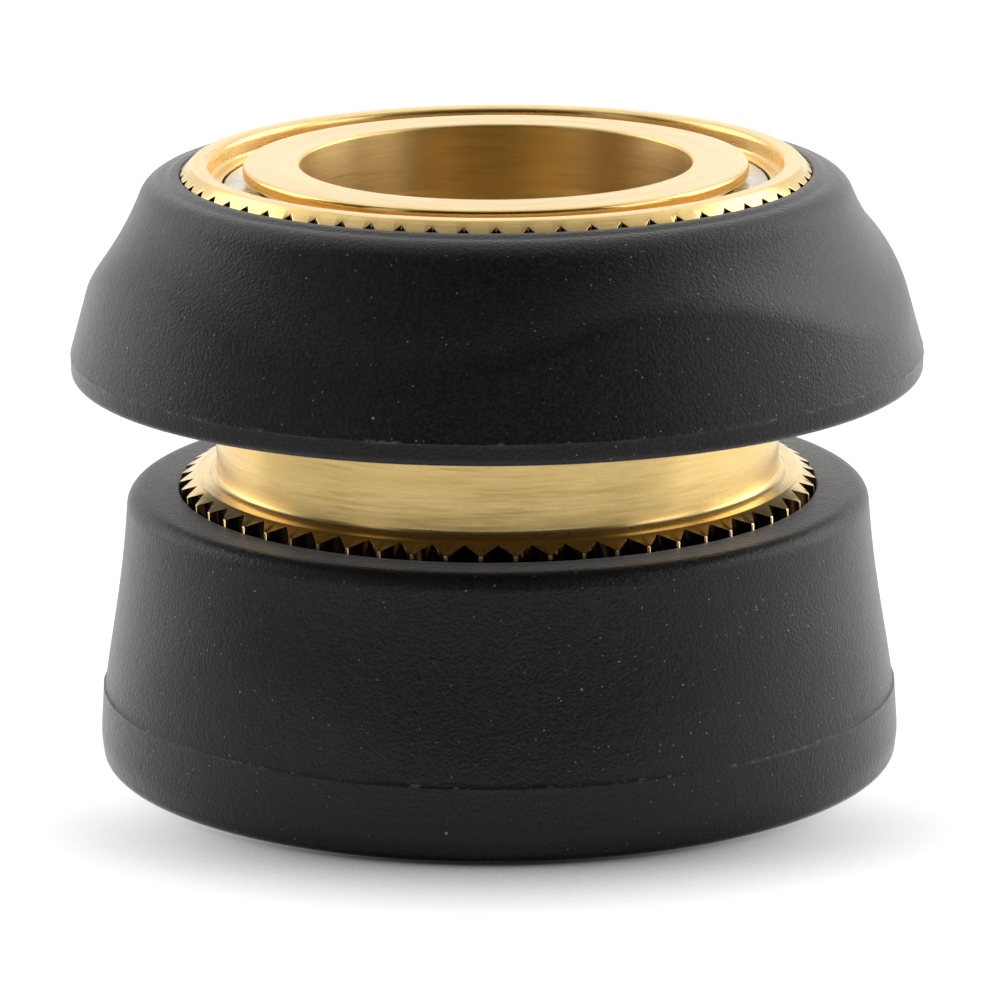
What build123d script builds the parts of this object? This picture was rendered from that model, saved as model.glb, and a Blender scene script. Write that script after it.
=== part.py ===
from build123d import *

import os
from math import cos, pi, radians, sin, sqrt

# Female hose connector: a sleeve-operated quick coupling with a threaded hose end below.
# Millimetres. The axis is +Z and the origin is the centre of the lower grip's foot.
# Turned pieces are brass, the two grips, the O-ring and the washer are rubber, and the balls,
# the spring and the split ring are steel.

# Clearances shared by several fits
running_gap = 0.05
fixed_gap = 0.02
edge_break = 0.15

# Lower body: hose thread below, knurled flange and neck above
body_recess = 0.5
body_height = 13.7
thread_root_r = 13.6
thread_length = 6.6
thread_lead_in = 0.5
washer_recess_depth = 0.25
washer_recess_height = 3.1
body_wall = 1.05
flange_ledge = 1.03
body_floor = 1.5
waterway_r = 7.5
end_land_height = 1.5
flange_tooth_depth = 0.66
flange_tooth_flat = 0.16
flange_teeth = 60
flange_chamfer = 0.5
neck_wall = 0.65
neck_fillet = 0.5
neck_stop_gap = 0.1

# Socket tube that the plug enters
socket_r = 9.5
guide_step = 0.2
guide_taper = 1.4
guide_gap = 0.05
tube_wall = 2.2
tube_length = 17.3
tube_seat_depth = 3.3
lip_overhang = 0.55
lip_height = 0.6
lip_edge = 0.2
seal_bore_r = 8.6
seal_bore_height = 6.5
seal_step_height = 0.7
seal_groove_depth = 1.55
seal_groove_height = 2.4
seal_groove_rise = 3.0
seal_section = 2.0

# Split ring that stops the sleeve
ring_drop = 1.0
ring_height = 0.9
ring_bearing = 0.6
ring_groove_depth = 0.4
ring_split_width = 3.0
ring_split_at = 90.0

# Lock balls
ball_d = 3.175
ball_count = 6
ball_drop = 3.0
ball_reach = 0.7
ball_clear = 0.03
first_ball_angle = 0.0

# Release sleeve
sleeve_travel = 3.0
sleeve_rise = 0.05
sleeve_tooth_depth = 0.27
sleeve_tooth_flat = 0.85
sleeve_teeth = 64
rim_chamfer = 0.55
rim_cup_depth = 1.0
rim_inner_round = 0.3
ledge_width = 0.6
skirt_gap = 0.13
flange_step = 0.26
skirt_length = 3.2
land_length = 1.1

# Return spring
spring_wire_d = 0.85
spring_turns = 4.25
spring_inner_gap = 0.25
spring_outer_gap = 0.3

# Hose washer
washer_height = 3.0
washer_bore_r = 8.0
washer_edge_gap = 0.35

# Lower grip, from its foot to its hollowed upper side
base_grip_drop = 0.7
base_grip_foot_wall = 4.09
base_grip_belly = 0.15
base_grip_belly_z = 1.3
base_grip_foot_corner = 0.45
base_grip_line_z = 3.7
base_grip_line_step = 0.1
base_grip_flare = 0.117
base_grip_flare_over = 0.15
base_grip_shoulder_drop = 0.8
base_grip_lean = 0.06
base_grip_ridge_share = 0.44
base_grip_swing_share = 0.18
base_grip_scallop_at = 48.0
base_grip_corner = 0.75

# Upper grip, from its foot to its hollowed upper side
sleeve_grip_drop = 0.47
sleeve_grip_foot_wall = 5.45
sleeve_grip_foot_corner = 0.35
sleeve_grip_line_rise = 1.1
sleeve_grip_lip_height = 0.5
sleeve_grip_lip_gap = 0.43
sleeve_grip_flare = 0.271
sleeve_grip_flare_over = 1.4
sleeve_grip_shoulder_drop = 0.3
sleeve_grip_lean = 0.32
sleeve_grip_ridge_share = 0.48
sleeve_grip_swing_share = 0.17
sleeve_grip_scallop_at = 27.5
sleeve_grip_top_slope = 0.08
sleeve_grip_corner = 0.55

# Both grips
scallops = 4
ridge_fillet = 3.0
section_points = 24
section_steps = 7

# Heights that follow from the sizes above
body_end_z = body_recess
flange_top_z = body_end_z + body_height
thread_top_z = body_end_z + thread_lead_in + thread_length
cup_top_z = thread_top_z + washer_recess_height
tube_foot_z = cup_top_z + body_floor
tube_top_z = tube_foot_z + tube_length
spring_floor_z = tube_foot_z + tube_seat_depth
knurl_foot_z = body_end_z + end_land_height
ring_top_z = tube_top_z - ring_drop
ring_foot_z = ring_top_z - ring_height
ball_z = ring_foot_z - ball_drop
sleeve_top_z = tube_top_z + sleeve_rise
ledge_z = sleeve_top_z - rim_cup_depth
ring_shoulder_z = ring_foot_z - running_gap

# Radii of the tube, the balls and the locking cone. The cone pushes a ball in as the sleeve
# rises, by its slope times the rise.
tube_r = socket_r + tube_wall
lip_r = tube_r + lip_overhang
plug_bore_r = socket_r - guide_step
ring_groove_r = tube_r - ring_groove_depth
seal_groove_r = seal_bore_r + seal_groove_depth
land_r = tube_r + running_gap
ball_r = ball_d / 2
pocket_ball_r = ball_r + running_gap
ball_rest_r = plug_bore_r - ball_reach + ball_r
ball_travel = ball_reach + ball_clear
cone_slope = ball_travel / sleeve_travel
cone_r_at_ball = ball_rest_r + pocket_ball_r * sqrt(1 + cone_slope**2)
cone_top_r = cone_r_at_ball + cone_slope * (ring_shoulder_z - ball_z)
cone_foot_z = ball_z - (cone_r_at_ball - land_r) / cone_slope
guide_foot_z = ball_z + pocket_ball_r + guide_gap
ring_outer_r = cone_top_r + ring_bearing
ring_bore_r = ring_outer_r + 2 * running_gap
rim_cup_r = ring_bore_r + ledge_width

# Heights of the sleeve's skirt and of the neck that it slides over
spring_shoulder_z = cone_foot_z - land_length
sleeve_foot_z = spring_shoulder_z - skirt_length
neck_top_z = spring_shoulder_z - sleeve_travel - neck_stop_gap

# Radii from the spring outwards
spring_mean_r = tube_r + spring_inner_gap + spring_wire_d / 2
pocket_r = spring_mean_r + spring_wire_d / 2 + spring_outer_gap
neck_r = pocket_r + neck_wall
skirt_bore_r = neck_r + skirt_gap
washer_recess_r = thread_root_r + washer_recess_depth
flange_root_r = max(washer_recess_r + body_wall, neck_r + flange_ledge)
flange_tip_r = flange_root_r + flange_tooth_depth
sleeve_tip_r = flange_tip_r - flange_step
sleeve_root_r = sleeve_tip_r - sleeve_tooth_depth

# Grips: where each meets its knurl, its shoulder and its parting line
base_grip_top_z = flange_top_z - base_grip_drop
base_grip_foot_r = flange_tip_r + base_grip_foot_wall - base_grip_belly
base_grip_belly_r = flange_tip_r + base_grip_foot_wall
sleeve_grip_top_z = sleeve_top_z - sleeve_grip_drop
sleeve_grip_foot_z = sleeve_foot_z - sleeve_grip_lip_height
sleeve_grip_line_z = sleeve_grip_foot_z + sleeve_grip_line_rise
sleeve_grip_foot_r = sleeve_tip_r + sleeve_grip_foot_wall


def turned(points):
    """Revolve a closed outline of (radius, height) points about the axis."""
    outline = Polyline(*[(r, 0, z) for r, z in points], close=True)
    return revolve(make_face(outline), Axis.Z)


def tube(outer_r, inner_r, low_z, high_z):
    """Plain ring between two radii and two heights."""
    return turned([(inner_r, low_z), (outer_r, low_z), (outer_r, high_z), (inner_r, high_z)])


def round_edges(part, low_z, high_z, low_r, high_r, radius):
    """Fillet the round edges whose height and radius lie in the two ranges."""
    chosen = []
    for edge in part.edges().filter_by(GeomType.CIRCLE):
        at_height = low_z < edge.center().Z < high_z
        if at_height and low_r < edge.radius < high_r:
            chosen.append(edge)
    return fillet(chosen, radius)


def tooth_grooves(root_r, tip_r, teeth, flat, low_z, high_z):
    """V grooves of a straight knurl, one prism for each gap between teeth."""
    half_gap = pi * tip_r / teeth - flat / 2
    mouth_r = 2 * tip_r - root_r
    spread = 2 * half_gap
    outline = Polyline(
        (root_r, 0, low_z), (mouth_r, spread, low_z), (mouth_r, -spread, low_z), close=True
    )
    groove = extrude(make_face(outline), amount=high_z - low_z, dir=(0, 0, 1))
    return [Rot(0, 0, 360 * k / teeth) * groove for k in range(teeth)]


def base_body():
    """Brass body: thread cup, washer recess, knurled flange and the neck round the spring."""
    blank = turned(
        [
            (thread_root_r + thread_lead_in, body_end_z),
            (flange_root_r - edge_break, body_end_z),
            (flange_root_r, body_end_z + edge_break),
            (flange_root_r, knurl_foot_z),
            (flange_tip_r - flange_chamfer, knurl_foot_z),
            (flange_tip_r, knurl_foot_z + flange_chamfer),
            (flange_tip_r, flange_top_z - flange_chamfer),
            (flange_tip_r - flange_chamfer, flange_top_z),
            (neck_r, flange_top_z),
            (neck_r, neck_top_z - edge_break),
            (neck_r - edge_break, neck_top_z),
            (pocket_r + edge_break, neck_top_z),
            (pocket_r, neck_top_z - edge_break),
            (pocket_r, spring_floor_z),
            (tube_r + fixed_gap, spring_floor_z),
            (tube_r + fixed_gap, tube_foot_z),
            (waterway_r, tube_foot_z),
            (waterway_r, cup_top_z),
            (washer_recess_r, cup_top_z),
            (washer_recess_r, thread_top_z),
            (thread_root_r, thread_top_z),
            (thread_root_r, body_end_z + thread_lead_in),
        ]
    )
    blank = round_edges(
        blank, flange_top_z - 0.01, flange_top_z + 0.01, neck_r - 0.01, neck_r + 0.01, neck_fillet
    )
    grooves = tooth_grooves(
        flange_root_r,
        flange_tip_r,
        flange_teeth,
        flange_tooth_flat,
        knurl_foot_z,
        flange_top_z + flange_chamfer,
    )
    return blank - grooves


def ball_pocket(angle):
    """Drilled seat of one lock ball: a round end towards the bore and a straight way outwards."""
    length = tube_r - ball_rest_r + 1
    seat = Pos(ball_rest_r, 0, ball_z) * Sphere(pocket_ball_r)
    way = Pos(ball_rest_r + length / 2, 0, ball_z) * Rot(0, 90, 0) * Cylinder(pocket_ball_r, length)
    return Rot(0, 0, angle) * (seat + way)


def ball_angles():
    """Angles of the lock balls about the axis, in degrees from +X."""
    return [first_ball_angle + 360 * k / ball_count for k in range(ball_count)]


def socket_tube():
    """Brass socket: plug bore, stepped seal bore, ring groove, top lip and the ball pockets."""
    step_z = tube_foot_z + seal_bore_height
    groove_foot_z = tube_foot_z + seal_groove_rise
    groove_top_z = groove_foot_z + seal_groove_height
    blank = turned(
        [
            (seal_bore_r + edge_break, tube_foot_z),
            (tube_r - edge_break, tube_foot_z),
            (tube_r, tube_foot_z + edge_break),
            (tube_r, ring_foot_z - running_gap),
            (ring_groove_r, ring_foot_z - running_gap),
            (ring_groove_r, ring_top_z + running_gap),
            (tube_r, ring_top_z + running_gap),
            (tube_r, tube_top_z - lip_height),
            (lip_r, tube_top_z - lip_height),
            (lip_r, tube_top_z - lip_edge),
            (lip_r - lip_edge, tube_top_z),
            (socket_r + edge_break, tube_top_z),
            (socket_r, tube_top_z - edge_break),
            (socket_r, guide_foot_z),
            (plug_bore_r, guide_foot_z - guide_taper),
            (plug_bore_r, step_z + seal_step_height),
            (seal_bore_r, step_z),
            (seal_bore_r, groove_top_z),
            (seal_groove_r, groove_top_z),
            (seal_groove_r, groove_foot_z),
            (seal_bore_r, groove_foot_z),
            (seal_bore_r, tube_foot_z + edge_break),
        ]
    )
    return blank - [ball_pocket(angle) for angle in ball_angles()]


def lock_ball(angle):
    """Steel ball resting in its pocket, a little proud of the plug bore."""
    return Rot(0, 0, angle) * Pos(ball_rest_r, 0, ball_z) * Sphere(ball_r)


def snap_ring():
    """Flat split ring of spring steel in the tube's groove, the sleeve's upper stop."""
    ring = tube(ring_outer_r, ring_groove_r + running_gap, ring_foot_z, ring_top_z)
    middle_z = (ring_foot_z + ring_top_z) / 2
    split = Pos(ring_outer_r, 0, middle_z) * Box(ring_outer_r, ring_split_width, 2 * ring_height)
    return ring - Rot(0, 0, ring_split_at) * split


def release_sleeve():
    """Brass sleeve: knurled outside, cup and ledge on top, ring seat, locking cone and skirt."""
    blank = turned(
        [
            (skirt_bore_r + edge_break, sleeve_foot_z),
            (sleeve_tip_r - rim_chamfer, sleeve_foot_z),
            (sleeve_tip_r, sleeve_foot_z + rim_chamfer),
            (sleeve_tip_r, sleeve_top_z - rim_chamfer),
            (sleeve_tip_r - rim_chamfer, sleeve_top_z),
            (rim_cup_r, sleeve_top_z),
            (rim_cup_r, ledge_z),
            (ring_bore_r, ledge_z),
            (ring_bore_r, ring_shoulder_z),
            (cone_top_r, ring_shoulder_z),
            (land_r, cone_foot_z),
            (land_r, spring_shoulder_z),
            (skirt_bore_r, spring_shoulder_z),
            (skirt_bore_r, sleeve_foot_z + edge_break),
        ]
    )
    blank = round_edges(
        blank,
        sleeve_top_z - 0.01,
        sleeve_top_z + 0.01,
        rim_cup_r - 0.01,
        rim_cup_r + 0.01,
        rim_inner_round,
    )
    grooves = tooth_grooves(
        sleeve_root_r,
        sleeve_tip_r,
        sleeve_teeth,
        sleeve_tooth_flat,
        sleeve_foot_z - rim_chamfer,
        sleeve_top_z + rim_chamfer,
    )
    return blank - grooves


def return_spring():
    """Round-wire compression spring between the body's spring floor and the sleeve's shoulder."""
    wire_r = spring_wire_d / 2
    height = spring_shoulder_z - spring_floor_z - spring_wire_d
    path = Helix(pitch=height / spring_turns, height=height, radius=spring_mean_r)
    section = Plane(origin=path @ 0, z_dir=path % 0) * Circle(wire_r)
    wire = sweep(section, path=path, is_frenet=True)
    return Pos(0, 0, spring_floor_z + wire_r) * wire


def socket_o_ring():
    """Rubber O-ring in the groove of the seal bore."""
    mean_r = seal_groove_r - fixed_gap - seal_section / 2
    mid_z = tube_foot_z + seal_groove_rise + seal_groove_height / 2
    return Pos(0, 0, mid_z) * Torus(mean_r, seal_section / 2)


def hose_washer():
    """Flat rubber washer against the roof of the thread cup."""
    outer_r = washer_recess_r - washer_edge_gap
    return tube(outer_r, washer_bore_r, cup_top_z - washer_height, cup_top_z)


class Grip:
    """Outer form of a moulded grip above its parting line.

    The lower side flares straight from the parting line. The upper side is hollowed: from the
    shoulder it leans out and curves down to a ridge, where it meets the flare. The height of the
    ridge swings up and down once for each scallop.
    """

    def __init__(self, line_r, line_z, shoulder_z, flare, flare_over):
        self.line_r = line_r
        self.line_z = line_z
        self.shoulder_z = shoulder_z
        self.height = shoulder_z - line_z
        self.flare = flare
        self.shoulder_r = self.flare_r(shoulder_z) - flare_over

    def hollow(self, lean, ridge_share, swing_share, scallop_at):
        """Set the hollow's lean, the ridge's height and swing, and where a crest lies."""
        self.lean = lean
        self.ridge_z = self.line_z + ridge_share * self.height
        self.swing = swing_share * self.height
        self.scallop_at = radians(scallop_at)

    def flare_r(self, z):
        """Radius of the straight flare at a height."""
        return self.line_r - self.flare * (z - self.line_z)

    def hollow_r(self, angle, z):
        """Radius of the hollow at an angle from +X and a height."""
        turn = angle + pi / 2 - self.scallop_at
        crest_z = self.ridge_z + self.swing * cos(scallops * turn)
        crest_drop = self.shoulder_z - crest_z
        widening = self.flare_r(crest_z) - self.shoulder_r - self.lean * crest_drop
        drop = self.shoulder_z - z
        return self.shoulder_r + self.lean * drop + widening * drop * abs(drop) / crest_drop**2

    def section(self, z):
        """Closed outline of the hollow at one height."""
        points = []
        for k in range(section_points):
            angle = 2 * pi * k / section_points
            radius = self.hollow_r(angle, z)
            points.append((radius * cos(angle), radius * sin(angle), z))
        return make_face(Spline(*points, periodic=True))

    def envelope(self, high_z):
        """Solid inside the hollow, plain below the lowest point of the ridge."""
        low_z = self.ridge_z - 2 * self.swing
        step = (high_z - low_z) / section_steps
        hollow = loft([self.section(low_z + step * k) for k in range(section_steps + 1)])
        below = Cylinder(2 * self.line_r, low_z, align=(Align.CENTER, Align.CENTER, Align.MIN))
        return hollow + below

    def waves(self, solid, low_z, high_z):
        """Wavy closed edges of the hollow whose middle lies between two heights."""
        curved = solid.edges().filter_by(GeomType.BSPLINE)
        around = curved.filter_by(lambda edge: edge.length > 4 * self.shoulder_r)
        return around.filter_by(lambda edge: low_z < edge.center().Z < high_z)

    def mould(self, blank, high_z, corner):
        """Hollow a turned blank, then round its top corner and its ridge."""
        solid = blank & self.envelope(high_z + corner)
        solid = fillet(self.waves(solid, self.shoulder_z, high_z + corner), corner)
        ridge = self.waves(solid, self.ridge_z - self.swing, self.ridge_z + self.swing)
        return fillet(ridge, ridge_fillet)


def base_grip():
    """Rubber grip of the lower body, pushed over the flange teeth with a lip under them."""
    bore_r = flange_tip_r + fixed_gap
    lip_r = flange_root_r + fixed_gap
    lip_z = knurl_foot_z - fixed_gap
    grip = Grip(
        base_grip_foot_r - base_grip_line_step,
        base_grip_line_z,
        base_grip_top_z - base_grip_shoulder_drop,
        base_grip_flare,
        base_grip_flare_over,
    )
    grip.hollow(
        base_grip_lean, base_grip_ridge_share, base_grip_swing_share, base_grip_scallop_at
    )
    blank = turned(
        [
            (lip_r, 0),
            (base_grip_foot_r - base_grip_foot_corner, 0),
            (base_grip_foot_r, base_grip_foot_corner),
            (base_grip_belly_r, base_grip_belly_z),
            (base_grip_foot_r, base_grip_line_z),
            (grip.line_r, base_grip_line_z),
            (grip.flare_r(base_grip_top_z), base_grip_top_z),
            (bore_r, base_grip_top_z),
            (bore_r, lip_z),
            (lip_r, lip_z),
        ]
    )
    return grip.mould(blank, base_grip_top_z, base_grip_corner)


def sleeve_grip():
    """Rubber grip of the release sleeve, flared towards its foot, with a lip under the skirt."""
    bore_r = sleeve_tip_r + fixed_gap
    lip_r = neck_r + sleeve_grip_lip_gap
    lip_z = sleeve_foot_z - fixed_gap
    grip = Grip(
        sleeve_grip_foot_r,
        sleeve_grip_line_z,
        sleeve_grip_top_z - sleeve_grip_shoulder_drop,
        sleeve_grip_flare,
        sleeve_grip_flare_over,
    )
    grip.hollow(
        sleeve_grip_lean, sleeve_grip_ridge_share, sleeve_grip_swing_share, sleeve_grip_scallop_at
    )
    top_r = grip.flare_r(sleeve_grip_top_z)
    blank = turned(
        [
            (lip_r, sleeve_grip_foot_z),
            (grip.line_r - sleeve_grip_foot_corner, sleeve_grip_foot_z),
            (grip.line_r, sleeve_grip_foot_z + sleeve_grip_foot_corner),
            (grip.line_r, sleeve_grip_line_z),
            (top_r, sleeve_grip_top_z - sleeve_grip_top_slope * (top_r - bore_r)),
            (bore_r, sleeve_grip_top_z),
            (bore_r, lip_z),
            (lip_r, lip_z),
        ]
    )
    return grip.mould(blank, sleeve_grip_top_z, sleeve_grip_corner)


def build():
    """All pieces by node name."""
    pieces = {
        "base_body": base_body(),
        "socket_tube": socket_tube(),
        "release_sleeve": release_sleeve(),
        "base_grip": base_grip(),
        "sleeve_grip": sleeve_grip(),
        "return_spring": return_spring(),
        "snap_ring": snap_ring(),
        "socket_o_ring": socket_o_ring(),
        "hose_washer": hose_washer(),
    }
    for k, angle in enumerate(ball_angles()):
        pieces[f"lock_ball_{k + 1}"] = lock_ball(angle)
    return pieces


os.makedirs("parts", exist_ok=True)
for name, piece in build().items():
    export_step(piece, f"parts/{name}.step")
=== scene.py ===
"""Visual model of the female hose connector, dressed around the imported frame.

Every size is in millimetres unless it says otherwise. The axis is +Z, and the lower grip stands
on z = 0.
"""

import logging
from dataclasses import dataclass
from enum import Enum
from math import atan2, cos, pi, radians, sin, tau
from typing import Any

import bmesh
import bpy
from bmesh.types import BMEdge, BMesh
from mathutils import Euler, Matrix, Vector, noise


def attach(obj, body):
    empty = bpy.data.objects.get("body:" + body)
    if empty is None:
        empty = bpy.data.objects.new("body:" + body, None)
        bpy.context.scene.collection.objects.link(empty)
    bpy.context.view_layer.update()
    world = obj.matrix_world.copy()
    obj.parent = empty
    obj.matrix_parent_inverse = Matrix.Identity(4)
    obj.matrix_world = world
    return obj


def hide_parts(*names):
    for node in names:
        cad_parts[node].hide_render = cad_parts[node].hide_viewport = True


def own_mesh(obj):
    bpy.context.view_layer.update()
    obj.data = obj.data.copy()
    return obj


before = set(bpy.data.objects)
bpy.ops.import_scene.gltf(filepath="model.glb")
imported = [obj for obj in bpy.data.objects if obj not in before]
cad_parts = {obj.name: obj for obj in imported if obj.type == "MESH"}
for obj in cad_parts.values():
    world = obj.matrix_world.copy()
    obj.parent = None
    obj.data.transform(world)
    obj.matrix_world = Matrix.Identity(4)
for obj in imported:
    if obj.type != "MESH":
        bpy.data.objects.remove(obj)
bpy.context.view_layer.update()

LOG = logging.getLogger("hose_connector")
MM = 0.001
AXIS = Vector((0, 0, 1))
CENTRE = Vector((0, 0, 0))
WELD = 0.002 * MM
EDGE_ANGLE = 35.0
FLAT_WEIGHT = 80
GRIP_ARC = 7
AIM_Z = 0.015

Socket = bpy.types.NodeSocket
Object = bpy.types.Object
Material = bpy.types.Material
Value = Socket | float
Pair = tuple[float, float]
Colour = tuple[float, float, float]


class Slot(Enum):
    """Material slots of the record."""

    BRASS = "brass"
    GRIP = "grip_rubber"
    SEAL = "seal_rubber"
    STEEL = "steel"


class Body(Enum):
    """Moving bodies of the frame that pieces ride on. Each lock ball has one of its own besides."""

    BASE = "base"
    RING = "ring"
    SLEEVE = "sleeve"


# ---- mesh tools


@dataclass(frozen=True)
class Turn:
    """One corner of a turned outline: radius, height, and how far the corner's round reaches."""

    r: float
    z: float
    round: float = 0.0
    cuts: int = 0


@dataclass(frozen=True)
class Outline:
    """Closed outline in the XZ plane, with rounded corners, to be spun about the axis.

    A corner's cuts divide the side that runs from it to the next corner.
    """

    corners: tuple[Turn, ...]
    arc_segments: int = 4

    @classmethod
    def through(cls, *corners: tuple[float, ...], arc_segments: int = 4) -> "Outline":
        """Outline through corners that are given as the values of a Turn."""
        return cls(tuple(Turn(*corner) for corner in corners), arc_segments)

    def wire(self, mesh: BMesh) -> None:
        """Draws the outline as a loop of edges.

        Args:
            mesh: The empty mesh to draw in.
        """
        points = [mesh.verts.new((turn.r * MM, 0, turn.z * MM)) for turn in self.corners]
        pairs = list(zip(points, points[1:] + points[:1]))
        for pair in pairs:
            mesh.edges.new(pair)
        spots = [point.co.lerp(other.co, 0.5) for point, other in pairs]
        for point, turn in zip(points, self.corners):
            if turn.round:
                bmesh.ops.bevel(
                    mesh, geom=[point], offset=turn.round * MM, offset_type="OFFSET",
                    segments=self.arc_segments, profile=0.5, affect="VERTICES",
                    clamp_overlap=True, material=-1,
                )
        for spot, turn in zip(spots, self.corners):
            if turn.cuts:
                side = min(mesh.edges, key=lambda edge: off_edge(edge, spot))
                bmesh.ops.subdivide_edges(mesh, edges=[side], cuts=turn.cuts)

    def spin(self, mesh: BMesh, steps: int, angle: float = tau) -> None:
        """Draws the outline in an empty mesh and spins it about the axis in flat steps."""
        self.wire(mesh)
        sweep(mesh, everything(mesh), angle, steps, closed=angle == tau)


@dataclass(frozen=True)
class Knurl:
    """Straight V knurl round a turned blank."""

    teeth: int
    root_r: float
    tip_r: float
    flat: float
    steps: int = 2

    def cut(self, mesh: BMesh, outline: Outline) -> None:
        """Builds the blank with its V grooves.

        Half of one groove is spun, cut on its flank and mirrored, then repeated all round.

        Args:
            mesh: The empty mesh to build in.
            outline: The blank's outline.
        """
        half_pitch = pi / self.teeth
        half_gap = half_pitch * self.tip_r - self.flat / 2
        outline.wire(mesh)
        sweep(mesh, everything(mesh), half_pitch, self.steps)
        flank = bmesh.ops.bisect_plane(
            mesh, geom=everything(mesh), dist=WELD / 10, plane_co=(self.root_r * MM, 0, 0),
            plane_no=(half_gap, self.root_r - self.tip_r, 0), clear_outer=True,
        )
        rim = [part for part in flank["geom_cut"] if isinstance(part, BMEdge)]
        bmesh.ops.contextual_create(mesh, geom=rim)
        whole = everything(mesh)
        bmesh.ops.mirror(mesh, geom=whole, matrix=Matrix.Identity(4), merge_dist=WELD, axis="Y")
        repeat(mesh, self.teeth)


def off_edge(edge: BMEdge, spot: Vector) -> float:
    """How far a point is from an edge."""
    start, end = (vert.co for vert in edge.verts)
    share = max(0.0, min(1.0, (spot - start).dot(end - start) / (end - start).length_squared))
    return (spot - start.lerp(end, share)).length


def everything(mesh: BMesh) -> list[Any]:
    """All vertices, edges and faces of a mesh, as the operators take them."""
    return mesh.verts[:] + mesh.edges[:] + mesh.faces[:]


def sweep(
    mesh: BMesh, geom: list[Any], angle: float, steps: int,
    closed: bool = False, rise: float = 0.0, copies: bool = False,
) -> list[Any]:
    """Spins geometry about the axis.

    Args:
        mesh: The mesh that holds the geometry.
        geom: What is spun.
        angle: The sweep in radians.
        steps: How many steps it takes.
        closed: Whether the last step joins the first.
        rise: How far the sweep climbs in all, in millimetres.
        copies: Whether each step is a copy of its own.

    Returns:
        The geometry of the last step.
    """
    result = bmesh.ops.spin(
        mesh, geom=geom, cent=CENTRE, axis=AXIS, dvec=AXIS * (rise * MM / steps),
        angle=angle, steps=steps, use_merge=closed, use_duplicate=copies,
    )
    return result["geom_last"]


def repeat(mesh: BMesh, count: int) -> None:
    """Copies all of a mesh round the axis until the turn is full, and welds the copies."""
    sweep(mesh, everything(mesh), tau * (count - 1) / count, count - 1, copies=True)
    bmesh.ops.remove_doubles(mesh, verts=mesh.verts[:], dist=WELD)


def cap_ends(mesh: BMesh) -> None:
    """Closes the open ends of a sweep with one face each."""
    rims = [edge for edge in mesh.edges if edge.is_boundary]
    bmesh.ops.holes_fill(mesh, edges=rims, sides=0)


def to_data(mesh: BMesh, name: str) -> bpy.types.Mesh:
    """Turns a mesh into named mesh data and frees it."""
    data = bpy.data.meshes.new(name)
    mesh.to_mesh(data)
    mesh.free()
    return data


def add_object(name: str, data: bpy.types.ID) -> Object:
    """Puts data into the scene as an object at the origin."""
    obj = bpy.data.objects.new(name, data)
    bpy.context.scene.collection.objects.link(obj)
    return obj


def ring_wire(mesh: BMesh, centre_r: float, centre_z: float, wire_r: float, sides: int) -> None:
    """Draws the round section of a wire or seal, standing in the XZ plane."""
    place = Matrix.Translation((centre_r * MM, 0, centre_z * MM)) @ Matrix.Rotation(pi / 2, 4, "X")
    bmesh.ops.create_circle(mesh, segments=sides, radius=wire_r * MM, matrix=place)


@dataclass
class Piece:
    """One finished piece of the connector, as it goes into the frame."""

    name: str
    body: str
    slot: Slot
    nodes: tuple[str, ...]

    def place(self, mesh: BMesh, finish: Material) -> Object:
        """Turns a finished mesh into an object on its body.

        Args:
            mesh: The mesh, in the frame. It is freed.
            finish: The piece's material.

        Returns:
            The object, which stands for the piece's CAD nodes.
        """
        bmesh.ops.recalc_face_normals(mesh, faces=mesh.faces[:])
        for face in mesh.faces:
            face.smooth = True
        data = to_data(mesh, self.name)
        data.materials.append(finish)
        obj = add_object(self.name, data)
        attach(obj, self.body)
        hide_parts(*self.nodes)
        LOG.info("%s: %d faces on %s", self.name, len(data.polygons), self.body)
        return obj


def break_edges(obj: Object, width: float) -> None:
    """Breaks the sharp edges of a machined piece with a live bevel.

    Args:
        obj: The piece.
        width: The bevel's width.
    """
    bevel = obj.modifiers.new("edge_break", "BEVEL")
    bevel.limit_method = "ANGLE"
    bevel.angle_limit = radians(EDGE_ANGLE)
    bevel.width = width * MM
    bevel.segments = 2
    bevel.use_clamp_overlap = True
    flatten_faces(obj)


def flatten_faces(obj: Object) -> None:
    """Makes wide faces shade flat right up to their rounded edges."""
    weighted = obj.modifiers.new("flat_faces", "WEIGHTED_NORMAL")
    weighted.mode = "FACE_AREA"
    weighted.weight = FLAT_WEIGHT
    weighted.keep_sharp = True


def carve(obj: Object, cutter_mesh: BMesh) -> None:
    """Cuts one mesh out of a piece and keeps the result in the piece's own mesh.

    Args:
        obj: The piece.
        cutter_mesh: What is taken away. It is freed.
    """
    bmesh.ops.recalc_face_normals(cutter_mesh, faces=cutter_mesh.faces[:])
    cutter = add_object("cutter", to_data(cutter_mesh, "cutter"))
    cut = obj.modifiers.new("cut", "BOOLEAN")
    cut.operation = "DIFFERENCE"
    cut.solver = "EXACT"
    cut.object = cutter
    bpy.context.view_layer.update()
    graph = bpy.context.evaluated_depsgraph_get()
    carved = bpy.data.meshes.new_from_object(obj.evaluated_get(graph))
    obj.modifiers.remove(cut)
    carved.name = obj.data.name
    obj.data = carved
    bpy.data.objects.remove(cutter)


# ---- shader tools


@dataclass(frozen=True)
class Ramp:
    """Where a layer starts to show, where it shows in full, and its weight there."""

    low: float
    high: float
    weight: float


@dataclass(frozen=True)
class Cells:
    """Fine and coarse scale of a grain, per millimetre, and the coarse one's share."""

    fine: float
    coarse: float
    share: float = 0.3


@dataclass(frozen=True)
class Specks:
    """Dust: its cells per millimetre, a speck's size, the share of cells with one, its weight."""

    cells: float
    size: float
    share: float
    weight: float


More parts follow.
